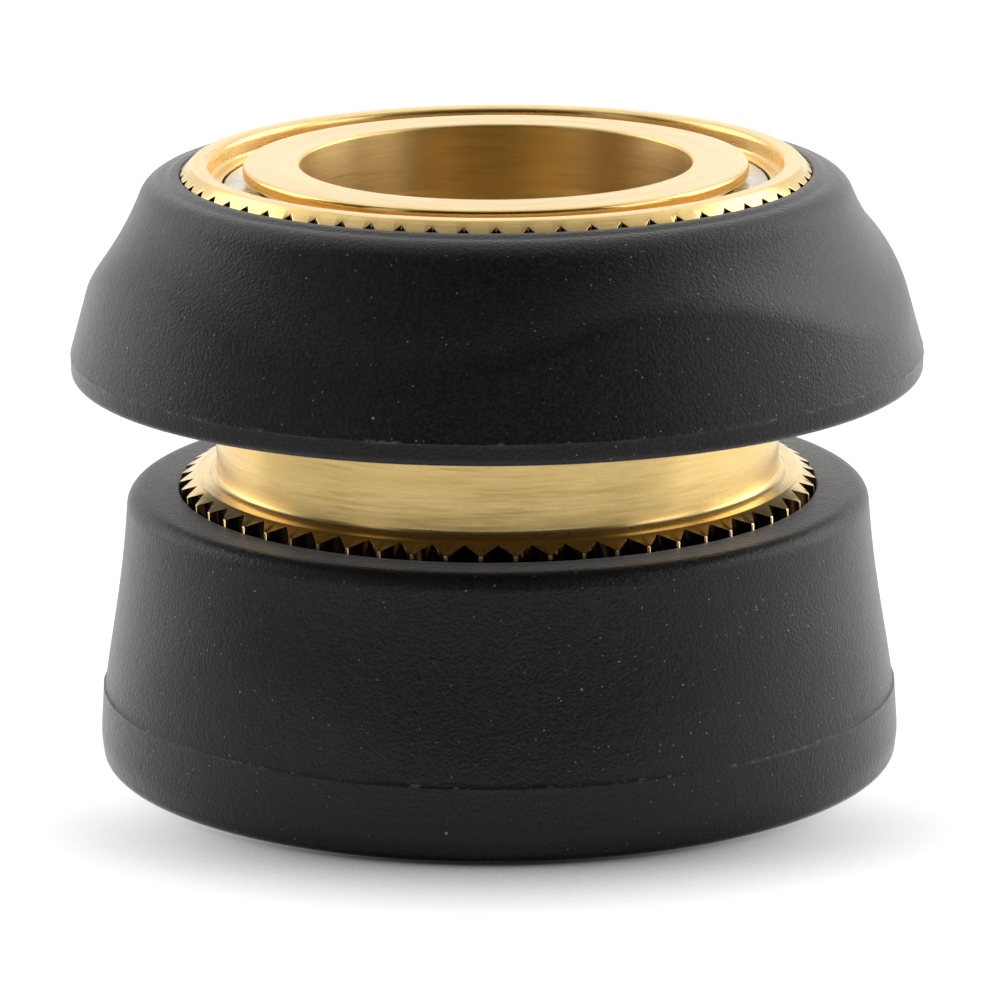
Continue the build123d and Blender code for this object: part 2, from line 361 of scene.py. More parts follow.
class Graph:
    """Adds nodes to one shader tree."""

    def __init__(self, tree: bpy.types.NodeTree) -> None:
        """Keeps the tree that nodes go into."""
        self.tree = tree

    def add(self, kind: str, **settings: Any) -> bpy.types.Node:
        """Adds a node.

        Args:
            kind: The node's type name.
            **settings: Properties of the node.

        Returns:
            The node.
        """
        node = self.tree.nodes.new(kind)
        for key, value in settings.items():
            setattr(node, key, value)
        return node

    def feed(self, target: Socket, value: Any) -> None:
        """Links a socket to an input, or sets the input's own value.

        Args:
            target: The input.
            value: A socket, or what the input is set to.
        """
        if isinstance(value, Socket):
            self.tree.links.new(value, target)
        else:
            target.default_value = value

    def math(self, operation: str, *values: Value, clamp: bool = False) -> Socket:
        """Adds a Math node.

        Args:
            operation: The node's operation.
            *values: Its inputs in order.
            clamp: Whether the result is kept between 0 and 1.

        Returns:
            The result.
        """
        node = self.add("ShaderNodeMath", operation=operation, use_clamp=clamp)
        for target, value in zip(node.inputs, values):
            self.feed(target, value)
        return node.outputs[0]

    def fade(
        self, value: Value, low: Value, high: Value, at_low: float = 0, at_high: float = 1
    ) -> Socket:
        """Maps a value smoothly from one range to another and holds it at the ends.

        Args:
            value: What is mapped.
            low: Where the change starts.
            high: Where the change ends.
            at_low: Result at low and below.
            at_high: Result at high and above.

        Returns:
            The mapped value.
        """
        node = self.add("ShaderNodeMapRange", interpolation_type="SMOOTHSTEP")
        for target, setting in zip(node.inputs, (value, low, high, at_low, at_high)):
            self.feed(target, setting)
        return node.outputs[0]

    def layer(self, value: Value, ramp: "Ramp") -> Socket:
        """How much of a layer there is at a value."""
        return self.math("MULTIPLY", self.fade(value, ramp.low, ramp.high), ramp.weight)

    def blend(self, share: Value, first: Any, second: Any) -> Socket:
        """Mixes two colours.

        Args:
            share: How much of the second there is.
            first: Colour or socket.
            second: Colour or socket.

        Returns:
            The mixed colour.
        """
        node = self.add("ShaderNodeMix", data_type="RGBA")
        self.feed(node.inputs[0], share)
        for target, value in zip((node.inputs[6], node.inputs[7]), (first, second)):
            self.feed(target, (*value, 1) if isinstance(value, tuple) else value)
        return node.outputs[2]

    def place(self) -> tuple[Socket, Socket, Socket, Socket]:
        """Object coordinates.

        Returns:
            The vector, and its X, Y and Z.
        """
        vector = self.add("ShaderNodeTexCoord").outputs["Object"]
        parts = self.add("ShaderNodeSeparateXYZ")
        self.feed(parts.inputs[0], vector)
        return vector, parts.outputs[0], parts.outputs[1], parts.outputs[2]

    def vector(self, x: Value, y: Value, z: Value) -> Socket:
        """Joins three values into a vector."""
        node = self.add("ShaderNodeCombineXYZ")
        for target, value in zip(node.inputs, (x, y, z)):
            self.feed(target, value)
        return node.outputs[0]

    def radius(self, x: Socket, y: Socket) -> Socket:
        """Distance from the axis."""
        squares = [self.math("POWER", part, 2) for part in (x, y)]
        return self.math("SQRT", self.math("ADD", *squares))

    def noise(
        self, vector: Socket, scale: Value, detail: float, rough: float,
        extra: Value | None = None,
    ) -> Socket:
        """Adds a noise texture.

        Args:
            vector: Where it is read.
            scale: Its scale, per metre.
            detail: How many finer layers it has.
            rough: How strong the finer layers are.
            extra: Fourth coordinate, where the noise has one.

        Returns:
            The noise, about 0.5 on average.
        """
        node = self.add("ShaderNodeTexNoise", noise_dimensions="3D" if extra is None else "4D")
        given = {"Vector": vector, "Scale": scale, "Detail": detail, "Roughness": rough}
        if extra is not None:
            given["W"] = extra
        for label, value in given.items():
            self.feed(node.inputs[label], value)
        return node.outputs["Fac"]


class Effect:
    """Shader node group with named inputs and outputs, built once and placed in many materials."""

    name: str = ""
    inputs: dict[str, float] = {}
    outputs: tuple[str, ...] = ("Mask",)

    def __init__(self) -> None:
        """Builds the group's tree."""
        self.tree = bpy.data.node_groups.new(self.name, "ShaderNodeTree")
        face, kind = self.tree.interface, "NodeSocketFloat"
        for label, value in self.inputs.items():
            face.new_socket(label, in_out="INPUT", socket_type=kind).default_value = value
        for label in self.outputs:
            face.new_socket(label, in_out="OUTPUT", socket_type=kind)
        graph = Graph(self.tree)
        entry = graph.add("NodeGroupInput")
        result = self.draw(graph, {label: entry.outputs[label] for label in self.inputs})
        end = graph.add("NodeGroupOutput")
        for label, value in zip(self.outputs, result):
            graph.feed(end.inputs[label], value)

    def draw(self, graph: Graph, given: dict[str, Socket]) -> tuple[Socket, ...]:
        """Draws the group's nodes from its inputs, and gives its outputs in order."""
        raise NotImplementedError

    def use(self, graph: Graph, **values: Value) -> list[Socket]:
        """Places the group in a material.

        Args:
            graph: The material's tree.
            **values: Inputs by name, with _ for a space.

        Returns:
            The outputs in order.
        """
        node = graph.add("ShaderNodeGroup", node_tree=self.tree)
        for label, value in values.items():
            graph.feed(node.inputs[label.replace("_", " ")], value)
        return list(node.outputs)


class TurningLines(Effect):
    """Fine tool marks round the axis: rings on a face, lines on a wall."""

    name = "turning_lines"
    inputs = {"Per Metre": 9000.0, "Wander": 350.0, "Contrast": 0.25}
    outputs = ("Height", "Band")

    def draw(self, graph: Graph, given: dict[str, Socket]) -> tuple[Socket, ...]:
        """Draws noise over radius and height, which changes slowly round the axis."""
        _, x, y, z = graph.place()
        radius = graph.radius(x, y)
        across = [graph.math("MULTIPLY", part, given["Per Metre"]) for part in (radius, z)]
        around = [graph.math("MULTIPLY", part, given["Wander"]) for part in (x, y)]
        vector = graph.vector(*across, around[0])
        fine = graph.noise(vector, 1.0, 3.0, 0.65, around[1])
        wide = graph.noise(vector, 0.14, 2.0, 0.5, around[1])
        low, high = (graph.math(way, 0.5, given["Contrast"]) for way in ("SUBTRACT", "ADD"))
        return fine, graph.fade(wide, low, high)


class Grooves(Effect):
    """Where a turned surface faces along its own circle, as the flanks of a knurl do. The brass
    paints shade there with this mask.
    """

    name = "knurl_grooves"
    inputs = {"Low": 0.25, "High": 0.5}

    def draw(self, graph: Graph, given: dict[str, Socket]) -> tuple[Socket, ...]:
        """Measures how much of the normal points round the axis."""
        normal = graph.add("ShaderNodeSeparateXYZ")
        graph.feed(normal.inputs[0], graph.add("ShaderNodeTexCoord").outputs["Normal"])
        _, x, y, _ = graph.place()
        across = graph.math("MULTIPLY", x, normal.outputs[1])
        along = graph.math("MULTIPLY", y, normal.outputs[0])
        turned = graph.math("SUBTRACT", across, along)
        turned = graph.math("ABSOLUTE", graph.math("DIVIDE", turned, graph.radius(x, y)))
        return (graph.fade(turned, given["Low"], given["High"]),)


class Grain(Effect):
    """Even fine grain of a cast, blasted or moulded surface."""

    name = "fine_grain"
    inputs = {"Scale": 9000.0, "Coarse Scale": 900.0, "Coarse Share": 0.3}
    outputs = ("Height", "Patch")

    def draw(self, graph: Graph, given: dict[str, Socket]) -> tuple[Socket, ...]:
        """Draws a fine noise over a coarse one."""
        vector, *_ = graph.place()
        fine = graph.noise(vector, given["Scale"], 2.0, 0.6)
        patch = graph.noise(vector, given["Coarse Scale"], 3.0, 0.55)
        share = given["Coarse Share"]
        upper = graph.math("MULTIPLY", fine, graph.math("SUBTRACT", 1.0, share))
        lower = graph.math("MULTIPLY", patch, share)
        return graph.math("ADD", upper, lower), patch

    def at(self, graph: Graph, cells: Cells) -> list[Socket]:
        """Places the grain in a material at the given scales."""
        scales = {"Scale": cells.fine / MM, "Coarse_Scale": cells.coarse / MM}
        return self.use(graph, Coarse_Share=cells.share, **scales)


class Dust(Effect):
    """Scattered specks, each in its own cell, only in some cells."""

    name = "dust_specks"
    inputs = {"Scale": 900.0, "Size": 0.06, "Share": 0.35}

    def draw(self, graph: Graph, given: dict[str, Socket]) -> tuple[Socket, ...]:
        """Draws small spots round the centres of random cells."""
        vector, *_ = graph.place()
        cells = graph.add("ShaderNodeTexVoronoi", voronoi_dimensions="3D")
        graph.feed(cells.inputs["Vector"], vector)
        graph.feed(cells.inputs["Scale"], given["Scale"])
        pick = graph.add("ShaderNodeSeparateColor")
        graph.feed(pick.inputs[0], cells.outputs["Color"])
        chosen = graph.math("LESS_THAN", pick.outputs[0], given["Share"])
        size = graph.math("MULTIPLY", given["Size"], graph.math("ADD", 0.35, pick.outputs[1]))
        near = graph.math("DIVIDE", cells.outputs["Distance"], size)
        spot = graph.fade(near, 0.6, 1.0, 1.0, 0.0)
        return (graph.math("MULTIPLY", spot, chosen),)

    def at(self, graph: Graph, specks: Specks) -> Socket:
        """Places specks in a material and gives how much of them shows."""
        (mask,) = self.use(graph, Scale=specks.cells / MM, Size=specks.size, Share=specks.share)
        return graph.math("MULTIPLY", mask, specks.weight)


class Finish:
    """A material under construction: a Principled shader and the graph that feeds it."""

    def __init__(self, name: str) -> None:
        """Starts the material."""
        self.material = bpy.data.materials.new(name)
        self.material.use_nodes = True
        self.graph = Graph(self.material.node_tree)
        self.shader = self.material.node_tree.nodes["Principled BSDF"]

    def set(self, **values: Any) -> None:
        """Feeds the shader's inputs, named with _ for a space."""
        for label, value in values.items():
            target = self.shader.inputs[label.replace("_", " ")]
            self.graph.feed(target, (*value, 1) if isinstance(value, tuple) else value)

    def bump(self, height: Socket, distance: float, under: Socket | None = None) -> Socket:
        """Adds a bump.

        Args:
            height: The height, from 0 to 1.
            distance: What a height of 1 stands for.
            under: Normal that it is laid over.

        Returns:
            The bumped normal.
        """
        node = self.graph.add("ShaderNodeBump")
        self.graph.feed(node.inputs["Height"], height)
        node.inputs["Distance"].default_value = distance * MM
        node.inputs["Strength"].default_value = 1.0
        if under is not None:
            self.graph.feed(node.inputs["Normal"], under)
        return node.outputs[0]


@dataclass(frozen=True)
class Shelf:
    """The effects that the materials share."""

    lines: TurningLines
    grooves: Grooves
    grain: Grain
    dust: Dust


@dataclass(frozen=True)
class Brass:
    """Turned brass: bright tool marks over a fine mottled grain, with painted shade on its knurl
    flanks.
    """

    name: str
    colour: Colour = (0.90, 0.66, 0.28)
    deep: Colour = (0.66, 0.40, 0.11)
    # Near-black brown painted on the knurl flanks as shade.
    painted_flank_shade: Colour = (0.035, 0.02, 0.01)
    rough: float = 0.28
    rough_spread: float = 0.1
    inner_rough: float = 0.28
    inner_r: float = 14.1
    inner_blend: float = 0.1
    brushed: float = 0.6
    along_axis: float = 0.25
    marks_per_mm: float = 5.5
    contrast: float = 0.22
    mark_depth: float = 0.006
    cells: Cells = Cells(11, 1.6, 0.25)
    grain_depth: float = 0.0022
    tint: Ramp = Ramp(0.35, 0.7, 0.25)
    shade: float = 0.4
    streak: Ramp = Ramp(0.4, 0.72, 0.55)

    def make(self, shelf: Shelf) -> Material:
        """Builds the material.

        Args:
            shelf: The shared effects.

        Returns:
            The material.
        """
        finish = Finish(self.name)
        graph = finish.graph
        per_metre = self.marks_per_mm / MM
        lines, band = shelf.lines.use(graph, Per_Metre=per_metre, Contrast=self.contrast)
        grain, patch = shelf.grain.at(graph, self.cells)
        shade = graph.math("MULTIPLY", band, self.shade)
        worn = graph.math("MAXIMUM", graph.layer(patch, self.tint), shade)
        worn = graph.math("MAXIMUM", worn, graph.layer(lines, self.streak))
        # Painted shade: surfaces that face round the axis, the knurl flanks, are mixed towards a
        # near-black brown.
        (groove,) = shelf.grooves.use(graph)
        colour = graph.blend(groove, graph.blend(worn, self.colour, self.deep), self.painted_flank_shade)
        _, x, y, _ = graph.place()
        low, high = self.inner_r * MM, (self.inner_r + self.inner_blend) * MM
        level = graph.fade(graph.radius(x, y), low, high, self.inner_rough, self.rough)
        half = self.rough_spread / 2
        marks = finish.bump(lines, self.mark_depth)
        finish.set(
            Base_Color=colour,
            Metallic=1.0,
            Roughness=graph.math("ADD", level, graph.fade(lines, 0.25, 0.75, -half, half)),
            Anisotropic=self.brushed,
            Anisotropic_Rotation=self.along_axis,
            Normal=finish.bump(grain, self.grain_depth, under=marks),
        )
        return finish.material


@dataclass(frozen=True)
class Rubber:
    """Black moulded rubber with grain, flow marks, dust and a pale parting line."""

    name: str
    colour: Colour = (0.0066, 0.0056, 0.0062)
    bloom: Colour = (0.0155, 0.0138, 0.0148)
    speck: Colour = (0.42, 0.41, 0.40)
    rough: float = 0.4
    rough_range: Pair = (-0.05, 0.06)
    gloss: float = 0.28
    sheen: float = 0.7
    sheen_rough: float = 0.3
    line_z: float | None = None
    cells: Cells = Cells(6.5, 1.1, 0.12)
    grain_depth: float = 0.045
    wave_depth: float = 0.015
    pale: Pair = (0.4, 0.65)
    dust: tuple[Specks, ...] = (Specks(0.62, 0.045, 0.55, 0.7), Specks(2.6, 0.11, 0.55, 0.5))
    streak: Ramp = Ramp(0.55, 0.75, 0.5)
    streak_per_mm: float = 1.5
    streak_squash: float = 0.12
    flash_half: Pair = (0.03, 0.09)
    flash_per_mm: float = 1.3
    flash_share: Ramp = Ramp(0.56, 0.66, 0.2)

    def make(self, shelf: Shelf) -> Material:
        """Builds the material.

        Args:
            shelf: The shared effects.

        Returns:
            The material.
        """
        finish = Finish(self.name)
        graph = finish.graph
        grain, patch = shelf.grain.at(graph, self.cells)
        colour = graph.blend(graph.fade(grain, *self.pale), self.colour, self.bloom)
        _, x, y, z = graph.place()
        down = graph.vector(x, y, graph.math("MULTIPLY", z, self.streak_squash))
        streaks = graph.noise(down, self.streak_per_mm / MM, 2.0, 0.6)
        colour = graph.blend(graph.layer(streaks, self.streak), colour, self.bloom)
        marks = graph.math("MAXIMUM", *(shelf.dust.at(graph, specks) for specks in self.dust))
        if self.line_z is not None:
            marks = graph.math("MAXIMUM", marks, self.flash(graph))
        waves = finish.bump(patch, self.wave_depth)
        rough = (self.rough + part for part in self.rough_range)
        finish.set(
            Base_Color=graph.blend(marks, colour, self.speck),
            Roughness=graph.fade(grain, 0.3, 0.7, *rough),
            Specular_IOR_Level=self.gloss,
            Sheen_Weight=self.sheen,
            Sheen_Roughness=self.sheen_rough,
            Normal=finish.bump(grain, self.grain_depth, under=waves),
        )
        return finish.material

    def flash(self, graph: Graph) -> Socket:
        """Bits of pale flash along the parting line.

        Args:
            graph: The material's tree.

        Returns:
            The mask of the flash.
        """
        vector, _, _, z = graph.place()
        away = graph.math("ABSOLUTE", graph.math("SUBTRACT", z, self.line_z * MM))
        near = graph.fade(away, *(half * MM for half in self.flash_half), 1.0, 0.0)
        ragged = graph.noise(vector, self.flash_per_mm / MM, 3.0, 0.7)
        return graph.math("MULTIPLY", near, graph.layer(ragged, self.flash_share))


@dataclass(frozen=True)
class Steel:
    """Bright drawn or ground steel."""

    name: str
    colour: Colour = (0.62, 0.61, 0.59)
    rough: float = 0.28
    rough_spread: float = 0.12
    marks_per_mm: float = 6.0
    mark_depth: float = 0.002
    cells: Cells = Cells(10, 1.2)
    grain_depth: float = 0.0015
    darker: float = 0.8

    def make(self, shelf: Shelf) -> Material:
        """Builds the material.

        Args:
            shelf: The shared effects.

        Returns:
            The material.
        """
        finish = Finish(self.name)
        graph = finish.graph
        lines, band = shelf.lines.use(graph, Per_Metre=self.marks_per_mm / MM)
        grain, patch = shelf.grain.at(graph, self.cells)
        dark = tuple(self.darker * part for part in self.colour)
        colour = graph.blend(graph.math("MULTIPLY", band, patch), self.colour, dark)
        marks = finish.bump(lines, self.mark_depth)
        half = self.rough_spread / 2
        finish.set(
            Base_Color=colour,
            Metallic=1.0,
            Roughness=graph.fade(patch, 0.3, 0.7, self.rough - half, self.rough + half),
            Normal=finish.bump(grain, self.grain_depth, under=marks),
        )
        return finish.material


# ---- brass pieces


@dataclass
class LowerBody:
    """Brass body: thread cup, knurled flange and the neck round the spring."""

    finish: Brass = Brass("brass_body", rough=0.2, inner_rough=0.3)
    foot_z: float = 0.5
    land_top_z: float = 2.0
    land_r: float = 14.9
    knurl: Knurl = Knurl(teeth=60, root_r=14.9, tip_r=15.56, flat=0.16)
    flange_top_z: float = 14.2
    flange_chamfer: float = 0.5
    flange_bevel: Pair = (0.8, 0.4)
    neck_r: float = 13.75
    neck_top_z: float = 19.895
    neck_fillet: float = 0.35
    pocket_r: float = 13.1
    pocket_z: float = 15.5
    seat_r: float = 11.72
    seat_z: float = 12.2
    waterway_r: float = 7.5
    cup_r: float = 13.85
    cup_z: float = 10.7
    thread_r: float = 13.6
    thread_top_z: float = 7.6
    lead_in: float = 0.5
    crest_r: float = 12.35
    thread_pitch: float = 25.4 / 11.5
    thread_turns: float = 2.6
    thread_steps: int = 64
    thread_root: float = 0.42
    thread_crest: float = 0.09
    thread_fade: float = 0.3
    thread_bite: float = 0.1
    edge: float = 0.15
    edge_break: float = 0.045

    def outline(self) -> Outline:
        """Outline of the blank, from the cup's mouth outwards and round."""
        tip_r = self.knurl.tip_r
        bevel = self.flange_chamfer
        return Outline.through(
            (self.thread_r + self.lead_in, self.foot_z, 0.05),
            (self.land_r, self.foot_z, self.edge),
            (self.land_r, self.land_top_z),
            (tip_r - bevel, self.land_top_z),
            (tip_r, self.land_top_z + bevel, 0.05),
            (tip_r, self.flange_top_z - self.flange_bevel[1], 0.05),
            (tip_r - self.flange_bevel[0], self.flange_top_z, 0.06),
            (self.neck_r, self.flange_top_z, self.neck_fillet),
            (self.neck_r, self.neck_top_z, self.edge),
            (self.pocket_r, self.neck_top_z, self.edge),
            (self.pocket_r, self.pocket_z, 0.1),
            (self.seat_r, self.pocket_z, 0.08),
            (self.seat_r, self.seat_z, 0.05),
            (self.waterway_r, self.seat_z, 0.2),
            (self.waterway_r, self.cup_z, 0.2),
            (self.cup_r, self.cup_z, 0.1),
            (self.cup_r, self.thread_top_z, 0.05),
            (self.thread_r, self.thread_top_z, 0.05),
            (self.thread_r, self.foot_z + self.lead_in, 0.05),
        )

    def thread(self, mesh: BMesh) -> None:
        """Adds the hose thread's ridge, which fades out at both ends.

        Args:
            mesh: The body's mesh.
        """
        ridge = bmesh.new()
        pitch = self.thread_pitch
        root_half, crest_half = self.thread_root * pitch, self.thread_crest * pitch
        start_z = self.foot_z + self.lead_in + root_half
        root_r = self.thread_r + self.thread_bite
        section = Outline.through(
            (root_r, start_z - root_half),
            (root_r, start_z + root_half),
            (self.crest_r, start_z + crest_half, 0.12),
            (self.crest_r, start_z - crest_half, 0.12),
        )
        section.wire(ridge)
        rise = self.thread_turns * pitch
        steps = int(self.thread_turns * self.thread_steps)
        sweep(ridge, everything(ridge), tau * self.thread_turns, steps, rise=rise)
        cap_ends(ridge)
        fade = self.thread_fade * pitch
        sunk_r = self.thread_r + self.thread_bite / 2
        for vert in ridge.verts:
            turned = (atan2(vert.co.y, vert.co.x) % tau) / tau * pitch
            wound = round((vert.co.z / MM - start_z - turned) / pitch) * pitch + turned
            share = min(1.0, max(0.0, wound / fade), max(0.0, (rise - wound) / fade))
            radius = vert.co.xy.length / MM
            if radius < self.thread_r:
                vert.co.xy *= (sunk_r - (sunk_r - radius) * share) / radius
        bmesh.ops.recalc_face_normals(ridge, faces=ridge.faces[:])
        joined = to_data(ridge, "thread_ridge")
        mesh.from_mesh(joined)
        bpy.data.meshes.remove(joined)

    def build(self, shelf: Shelf) -> None:
        """Models and places the body."""
        mesh = bmesh.new()
        self.knurl.cut(mesh, self.outline())
        self.thread(mesh)
        piece = Piece("knurled_body", Body.BASE.value, Slot.BRASS, ("base_body",))
        break_edges(piece.place(mesh, self.finish.make(shelf)), self.edge_break)


@dataclass
class PlugTube:
    """Brass tube that the plug enters, with its lip, ball pockets and seal groove."""

    finish: Brass = Brass(
        "brass_tube", rough=0.2, inner_rough=0.4, inner_r=9.6, brushed=0.72, mark_depth=0.008
    )
    foot_z: float = 12.2
    top_z: float = 29.5
    bore_r: float = 9.5
    guide_foot_z: float = 26.2875
    guide_taper: float = 1.4
    plug_r: float = 9.3
    seal_r: float = 8.6
    step_z: float = 18.7
    step_height: float = 0.7
    groove_r: float = 10.15
    groove_foot_z: float = 15.2
    groove_top_z: float = 17.6
    outer_r: float = 11.7
    ring_groove_r: float = 11.3
    ring_foot_z: float = 27.55
    ring_top_z: float = 28.55
    lip_r: float = 12.25
    lip_foot_z: float = 28.9
    lip_edge: float = 0.2
    bore_edge: float = 0.16
    edge: float = 0.08
    edge_break: float = 0.03
    steps: int = 224
    pocket_r: float = 1.6375
    ball_rest_r: float = 10.1875
    ball_z: float = 24.6
    balls: int = 6

    def outline(self) -> Outline:
        """Outline of the tube, up its outside and down its bore."""
        edge = self.edge
        return Outline.through(
            (self.seal_r, self.foot_z, edge),
            (self.outer_r, self.foot_z, edge),
            (self.outer_r, self.ring_foot_z, 0.04),
            (self.ring_groove_r, self.ring_foot_z, 0.04),
            (self.ring_groove_r, self.ring_top_z, 0.04),
            (self.outer_r, self.ring_top_z, 0.04),
            (self.outer_r, self.lip_foot_z, 0.04),
            (self.lip_r, self.lip_foot_z, 0.06),
            (self.lip_r, self.top_z, self.lip_edge),
            (self.bore_r, self.top_z, self.bore_edge),
            (self.bore_r, self.guide_foot_z, 0.05),
            (self.plug_r, self.guide_foot_z - self.guide_taper, 0.05),
            (self.plug_r, self.step_z + self.step_height, 0.08),
            (self.seal_r, self.step_z, 0.08),
            (self.seal_r, self.groove_top_z, edge),
            (self.groove_r, self.groove_top_z, edge),
            (self.groove_r, self.groove_foot_z, edge),
            (self.seal_r, self.groove_foot_z, edge),
        )

    def pockets(self) -> BMesh:
        """Cutter for the ball pockets, each a round end with a straight way outwards.

        Returns:
            The cutter's mesh.
        """
        cutter = bmesh.new()
        mouth_x, radius = (self.outer_r + 1) * MM, self.pocket_r * MM
        centre = Vector((self.ball_rest_r * MM, 0, self.ball_z * MM))
        lay = Matrix.Translation(centre) @ Matrix.Rotation(pi / 2, 4, "Y")
        bmesh.ops.create_uvsphere(cutter, u_segments=32, v_segments=16, radius=radius, matrix=lay)
        for vert in [vert for vert in cutter.verts if vert.co.x > centre.x + WELD]:
            spread = Vector((0, vert.co.y, vert.co.z - centre.z))
            if spread.length > WELD:
                spread *= radius / spread.length
            vert.co = Vector((mouth_x, spread.y, centre.z + spread.z))
        bmesh.ops.remove_doubles(cutter, verts=cutter.verts[:], dist=WELD)
        repeat(cutter, self.balls)
        return cutter

    def build(self, shelf: Shelf) -> None:
        """Models and places the tube."""
        mesh = bmesh.new()
        self.outline().spin(mesh, self.steps)
        piece = Piece("plug_tube", Body.BASE.value, Slot.BRASS, ("socket_tube",))
        tube = piece.place(mesh, self.finish.make(shelf))
        carve(tube, self.pockets())
        for face in tube.data.polygons:
            face.use_smooth = True
        break_edges(tube, self.edge_break)


@dataclass
class Sleeve:
    """Brass release sleeve: knurled outside, with its cup, ledge, ring seat, cone and skirt."""

    finish: Brass = Brass("brass_sleeve", rough=0.24, brushed=0.35)
    foot_z: float = 19.795
    top_z: float = 29.55
    chamfer: float = 0.55
    knurl: Knurl = Knurl(teeth=64, root_r=15.03, tip_r=15.3, flat=0.85)
    cup_r: float = 13.8906
    ledge_z: float = 28.55
    rim_round: float = 0.3
    ring_bore_r: float = 13.2906
    ring_seat_z: float = 27.55
    cone_top_r: float = 12.5906
    land_r: float = 11.75
    cone_foot_z: float = 24.0954
    shoulder_z: float = 22.9954
    skirt_r: float = 13.88
    edge_break: float = 0.04

    def outline(self) -> Outline:
        """Outline of the blank, up its outside and down through the cup and the cone."""
        tip_r = self.knurl.tip_r
        return Outline.through(
            (self.skirt_r, self.foot_z, 0.12),
            (tip_r - self.chamfer, self.foot_z, 0.05),
            (tip_r, self.foot_z + self.chamfer, 0.05),
            (tip_r, self.top_z - self.chamfer, 0.05),
            (tip_r - self.chamfer, self.top_z, 0.07),
            (self.cup_r, self.top_z, self.rim_round),
            (self.cup_r, self.ledge_z, 0.22),
            (self.ring_bore_r, self.ledge_z, 0.06),
            (self.ring_bore_r, self.ring_seat_z, 0.04),
            (self.cone_top_r, self.ring_seat_z, 0.04),
            (self.land_r, self.cone_foot_z, 0.08),
            (self.land_r, self.shoulder_z, 0.08),
            (self.skirt_r, self.shoulder_z, 0.08),
        )

    def build(self, shelf: Shelf) -> None:
        """Models and places the sleeve."""
        mesh = bmesh.new()
        self.knurl.cut(mesh, self.outline())
        piece = Piece("knurled_sleeve", Body.SLEEVE.value, Slot.BRASS, ("release_sleeve",))
        break_edges(piece.place(mesh, self.finish.make(shelf)), self.edge_break)


# ---- rubber grips


@dataclass
class GripForm:
    """Outer form of a moulded grip above its parting line.

    The lower side flares straight from the parting line. The upper side is hollowed from a
    shoulder down to a ridge, whose height swings once for each scallop.
    """

    line_r: float
    line_z: float
    shoulder_r: float
    shoulder_z: float
    flare_over: float
    lean: float
    ridge_share: float
    swing_share: float
    scallop_at: float
    softness: float
    scallops: int = 4

    def flare_r(self, z: float) -> float:
        """Radius of the straight flare at a height."""
        slope = (self.line_r - self.shoulder_r - self.flare_over) / (self.shoulder_z - self.line_z)
        return self.line_r - slope * (z - self.line_z)

    def hollow_r(self, angle: float, z: float) -> float:
        """Radius of the hollow at an angle from +X and a height."""
        height = self.shoulder_z - self.line_z
        turn = angle + pi / 2 - radians(self.scallop_at)
        ridge_z = self.line_z + self.ridge_share * height
        crest_z = ridge_z + self.swing_share * height * cos(self.scallops * turn)
        crest_drop = self.shoulder_z - crest_z
        widening = self.flare_r(crest_z) - self.shoulder_r - self.lean * crest_drop
        drop = self.shoulder_z - z
        return self.shoulder_r + self.lean * drop + widening * drop * abs(drop) / crest_drop**2

    def radius(self, angle: float, z: float) -> float:
        """Radius of the finished side, with the ridge between flare and hollow rounded."""
        flare = self.flare_r(z)
        hollow = self.hollow_r(angle, z)
        near = max(self.softness - abs(flare - hollow), 0.0) / self.softness
        return min(flare, hollow) - near * near * self.softness / 4


